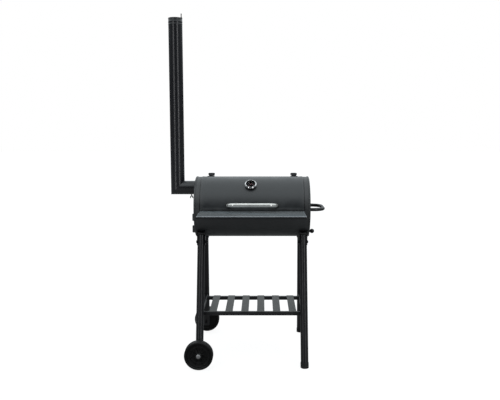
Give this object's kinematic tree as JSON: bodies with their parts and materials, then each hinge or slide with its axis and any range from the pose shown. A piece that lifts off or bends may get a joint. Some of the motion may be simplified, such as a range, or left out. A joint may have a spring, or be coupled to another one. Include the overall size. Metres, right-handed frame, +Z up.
{
  "type": "barrel smoker",
  "caption": "Barrel charcoal smoker on splayed tube legs with a tall side chimney, hinged lid, thermometer, front shelf, slatted lower shelf and wheels.",
  "frame": {"origin": "on the floor, below the centre of the whole object's box", "axes": "+X to the right along the barrel as seen from the front, +Y to the rear, +Z up"},
  "size_m": [0.8467, 0.699, 1.853],
  "materials": {
    "paint_barrel": "heat resistant satin black paint",
    "paint_lid": "heat resistant satin black paint",
    "paint_chimney": "satin black paint",
    "paint_frame": "satin black powder coat",
    "paint_shelf": "satin dark grey paint",
    "paint_slats": "fine textured dark grey powder coat",
    "paint_grate": "black enamel",
    "chrome_handle": "polished",
    "bezel_chrome": "polished",
    "dial_face": "printed dial",
    "needle_paint": "painted",
    "dial_glass": "clear",
    "case_paint": "gloss black",
    "plastic_black": "moulded, fine grain",
    "knob_black": "moulded",
    "zinc": "zinc plated",
    "zinc_dark": "blackened steel",
    "hub_zinc": "zinc plated"
  },
  "bodies": {
    "frame": {"barrel_shell": "paint_barrel", "end_cap_left": "paint_barrel", "end_cap_right": "paint_barrel", "chimney_collar": "paint_chimney", "hinge_leaves_barrel": "zinc_dark", "hinge_pins": "zinc_dark", "hinge_screws_barrel": "zinc_dark", "front_shelf": "paint_shelf", "shelf_brackets": "paint_frame", "leg_front_left": "paint_frame", "leg_rear_left": "paint_frame", "leg_front_right": "paint_frame", "leg_rear_right": "paint_frame", "leg_brackets": "paint_frame", "leg_bolts": "zinc_dark", "foot_caps": "plastic_black", "leg_plugs": "plastic_black", "side_bar_left": "paint_frame", "side_bar_right": "paint_frame", "rail_front": "paint_frame", "rail_rear": "paint_frame", "shelf_slats": "paint_slats", "wheel_axles": "zinc_dark", "hub_caps": "hub_zinc", "axle_spacers": "zinc", "side_handle": "paint_frame", "side_handle_flanges": "paint_frame", "side_handle_screws": "zinc_dark", "damper_studs": "zinc_dark", "door_hinge_leaves": "paint_barrel", "door_hinge_pins": "zinc_dark", "cooking_grates": "paint_grate", "charcoal_tray": "paint_grate", "inner_rests": "paint_barrel"},
    "lid": {"lid_panel": "paint_lid", "lid_handle": "chrome_handle", "lid_handle_rosettes": "zinc_dark", "lid_handle_screws": "zinc_dark", "hinge_leaves_lid": "zinc_dark", "hinge_screws_lid": "zinc_dark", "thermometer_case": "case_paint", "thermometer_stem": "zinc", "thermometer_nut": "zinc", "thermometer_dial": "dial_face", "thermometer_glass": "dial_glass", "thermometer_bezel": "bezel_chrome"},
    "needle": {"thermometer_needle": "needle_paint"},
    "chimney": {"chimney_elbow": "paint_chimney", "chimney_stack": "paint_chimney", "chimney_flap_lug": "zinc_dark", "chimney_flap_pin": "zinc_dark"},
    "flap": {"chimney_flap": "paint_chimney"},
    "wing_screw": {"chimney_wing_screw": "zinc"},
    "damper": {"damper_disc": "paint_chimney", "damper_knob": "knob_black"},
    "ash_door": {"ash_door": "paint_barrel", "ash_door_leaves": "paint_barrel", "ash_door_tab": "paint_barrel"},
    "wheel_front": {"wheel_front": "plastic_black"},
    "wheel_rear": {"wheel_rear": "plastic_black"}
  },
  "joints": [
    {"name": "lid_hinge", "type": "hinge", "parent": "frame", "child": "lid", "pos_m": [0.0269, 0.0745, 0.99], "axis": [-1, 0, 0], "range_deg": [0, 100]},
    {"name": "needle_turn", "type": "hinge", "parent": "lid", "child": "needle", "pos_m": [0.0194, -0.10314, 0.94687], "axis": [0, 0.6691, -0.7431], "range_deg": [0, 260]},
    {"name": "chimney_swivel", "type": "hinge", "parent": "frame", "child": "chimney", "pos_m": [-0.3101, 0.0165, 0.919], "axis": [1, 0, 0], "range_deg": [-90, 90]},
    {"name": "flap_swivel", "type": "hinge", "parent": "chimney", "child": "flap", "pos_m": [-0.3531, 0.0165, 1.828], "axis": [0, 0, 1], "range_deg": [0, 110]},
    {"name": "wing_screw_turn", "type": "hinge", "parent": "chimney", "child": "wing_screw", "pos_m": [-0.3101, 0.0165, 0.872], "axis": [0, 0, 1], "range_deg": [-180, 180]},
    {"name": "damper_turn", "type": "hinge", "parent": "frame", "child": "damper", "pos_m": [0.3369, 0.0165, 0.676], "axis": [1, 0, 0], "range_deg": [0, 60]},
    {"name": "ash_door_hinge", "type": "hinge", "parent": "frame", "child": "ash_door", "pos_m": [-0.2928, -0.0535, 0.732], "axis": [0, 0, 1], "range_deg": [0, 120]},
    {"name": "wheel_front_spin", "type": "hinge", "parent": "frame", "child": "wheel_front", "pos_m": [-0.2489, -0.2905, 0.075], "axis": [0, 1, 0], "continuous": true},
    {"name": "wheel_rear_spin", "type": "hinge", "parent": "frame", "child": "wheel_rear", "pos_m": [-0.2598, 0.3235, 0.075], "axis": [0, 1, 0], "continuous": true}
  ]
}
